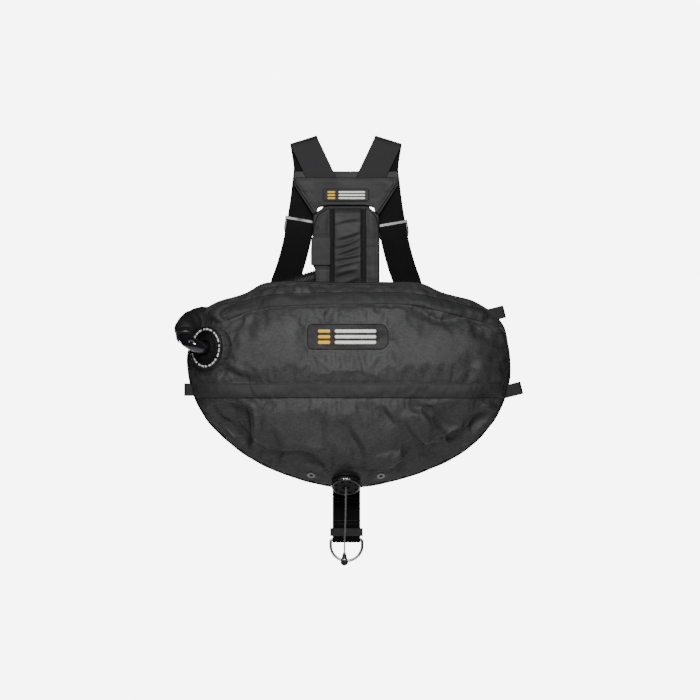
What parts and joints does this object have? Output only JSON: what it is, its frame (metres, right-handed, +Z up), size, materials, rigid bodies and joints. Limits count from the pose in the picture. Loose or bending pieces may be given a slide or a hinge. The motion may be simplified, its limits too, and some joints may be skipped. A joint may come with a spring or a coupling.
{
  "type": "buoyancy compensator vest",
  "caption": "Sidemount diving vest: soft harness with weight pockets, bean-shaped air wing, inflation port with hose and inflator, dump valve, belts and D-rings.",
  "frame": {"origin": "midway between the folds of the two shoulder straps, where the vest hangs", "axes": "+X across the vest to its right as seen from its outer side, +Y towards the diver, +Z up"},
  "size_m": [0.6291, 0.1779, 0.7749],
  "materials": {
    "cordura": "woven, matt, slightly napped",
    "webbing": "ribbed nylon webbing",
    "tape": "sewn nylon tape",
    "patch": "plain woven patch with stitched bars",
    "steel": "brushed stainless",
    "spring_steel": "wound wire",
    "matt_black": "moulded, fine grain",
    "gloss_black": "moulded, glossy",
    "hose_rubber": "corrugated, satin",
    "bladder": "coated film",
    "button_grey": "moulded, satin",
    "cord": "braided"
  },
  "bodies": {
    "harness": {"plate_inner_panel": "cordura", "plate_stiffener": "matt_black", "plate_outer_panel": "cordura", "plate_patch": "patch", "left_shoulder_strap": "webbing", "right_shoulder_strap": "webbing", "left_shoulder_slider": "steel", "right_shoulder_slider": "steel", "spine_backing": "cordura", "middle_pocket": "cordura", "left_pocket": "cordura", "right_pocket": "cordura", "pocket_channels": "webbing", "lumbar_plate": "cordura", "left_waist_belt": "webbing", "right_waist_belt": "webbing", "left_waist_slider": "steel", "right_waist_slider": "steel", "buckle_frame": "steel", "buckle_pin": "steel", "crotch_strap": "webbing", "crotch_keeper": "matt_black", "wing_outer_shell": "cordura", "wing_inner_shell": "cordura", "air_bladder": "bladder", "upper_band": "tape", "lower_band": "tape", "wing_patch": "patch", "band_loops": "tape", "port_seat": "cordura", "port_flange": "matt_black", "port_elbow": "gloss_black", "elbow_collar": "matt_black", "corrugated_hose": "hose_rubber", "hose_sleeve": "cordura", "inflator_body": "matt_black", "exhaust_spring": "spring_steel", "inflate_spring": "spring_steel", "mouthpiece": "hose_rubber", "supply_nipple": "steel", "hose_tie": "matt_black", "inflator_keeper": "webbing", "dump_flange": "matt_black", "dump_spring": "spring_steel", "dump_cap": "matt_black", "drain_eyelets": "steel", "wing_screws": "steel"},
    "left_shoulder_ring": {"left_shoulder_ring": "steel"},
    "right_shoulder_ring": {"right_shoulder_ring": "steel"},
    "left_waist_ring": {"left_waist_ring": "steel"},
    "right_waist_ring": {"right_waist_ring": "steel"},
    "crotch_ring": {"crotch_ring": "steel"},
    "buckle_lever": {"buckle_lever": "steel"},
    "pocket_flap": {"pocket_flap": "cordura"},
    "inflate_button": {"inflate_button": "button_grey"},
    "exhaust_button": {"exhaust_button": "button_grey"},
    "dump_poppet": {"dump_poppet": "hose_rubber"},
    "pull_cord": {"pull_cord": "cord", "pull_toggle": "matt_black"}
  },
  "joints": [
    {"name": "left_shoulder_ring_swing", "type": "hinge", "parent": "harness", "child": "left_shoulder_ring", "pos_m": [-0.08203, 0.02121, -0.14411], "axis": [0.9847, 0.0535, -0.1657], "range_deg": [0, 150]},
    {"name": "right_shoulder_ring_swing", "type": "hinge", "parent": "harness", "child": "right_shoulder_ring", "pos_m": [0.08326, 0.02219, -0.1511], "axis": [0.9847, -0.0543, 0.1656], "range_deg": [0, 150]},
    {"name": "left_waist_ring_swing", "type": "hinge", "parent": "harness", "child": "left_waist_ring", "pos_m": [-0.12, 0.0522, -0.472], "axis": [0, 0, -1], "range_deg": [0, 150]},
    {"name": "right_waist_ring_swing", "type": "hinge", "parent": "harness", "child": "right_waist_ring", "pos_m": [0.12, 0.0522, -0.472], "axis": [0, 0, 1], "range_deg": [0, 150]},
    {"name": "crotch_ring_swing", "type": "hinge", "parent": "harness", "child": "crotch_ring", "pos_m": [0.0008, -0.004, -0.724], "axis": [1, 0, 0], "range_deg": [-80, 80]},
    {"name": "buckle_lever_open", "type": "hinge", "parent": "harness", "child": "buckle_lever", "pos_m": [-0.022, 0.0518, -0.472], "axis": [0, 0, 1], "range_deg": [0, 110]},
    {"name": "pocket_flap_lift", "type": "hinge", "parent": "harness", "child": "pocket_flap", "pos_m": [-0.045, -0.0167, -0.177], "axis": [-1, 0, 0], "range_deg": [0, 120]},
    {"name": "inflate_button_press", "type": "slide", "parent": "harness", "child": "inflate_button", "axis": [-1, 0, 0], "range_m": [0, 0.003], "stiffness_N_per_m": 900, "springref_m": -0.001, "deforming": ["inflate_spring"]},
    {"name": "exhaust_button_press", "type": "slide", "parent": "harness", "child": "exhaust_button", "axis": [0, 0, -1], "range_m": [0, 0.003], "stiffness_N_per_m": 900, "springref_m": -0.001, "deforming": ["exhaust_spring"]},
    {"name": "pull_cord_pull", "type": "slide", "parent": "harness", "child": "pull_cord", "axis": [0, 0, -1], "range_m": [0, 0.0072]},
    {"name": "dump_poppet_lift", "type": "slide", "parent": "harness", "child": "dump_poppet", "axis": [0, -0.5593, -0.829], "range_m": [0, 0.006], "stiffness_N_per_m": 300, "springref_m": -0.002, "deforming": ["dump_spring"]}
  ],
  "couplings": [
    {"joint": "dump_poppet_lift", "follows": "pull_cord_pull", "ratio": 0.83}
  ]
}
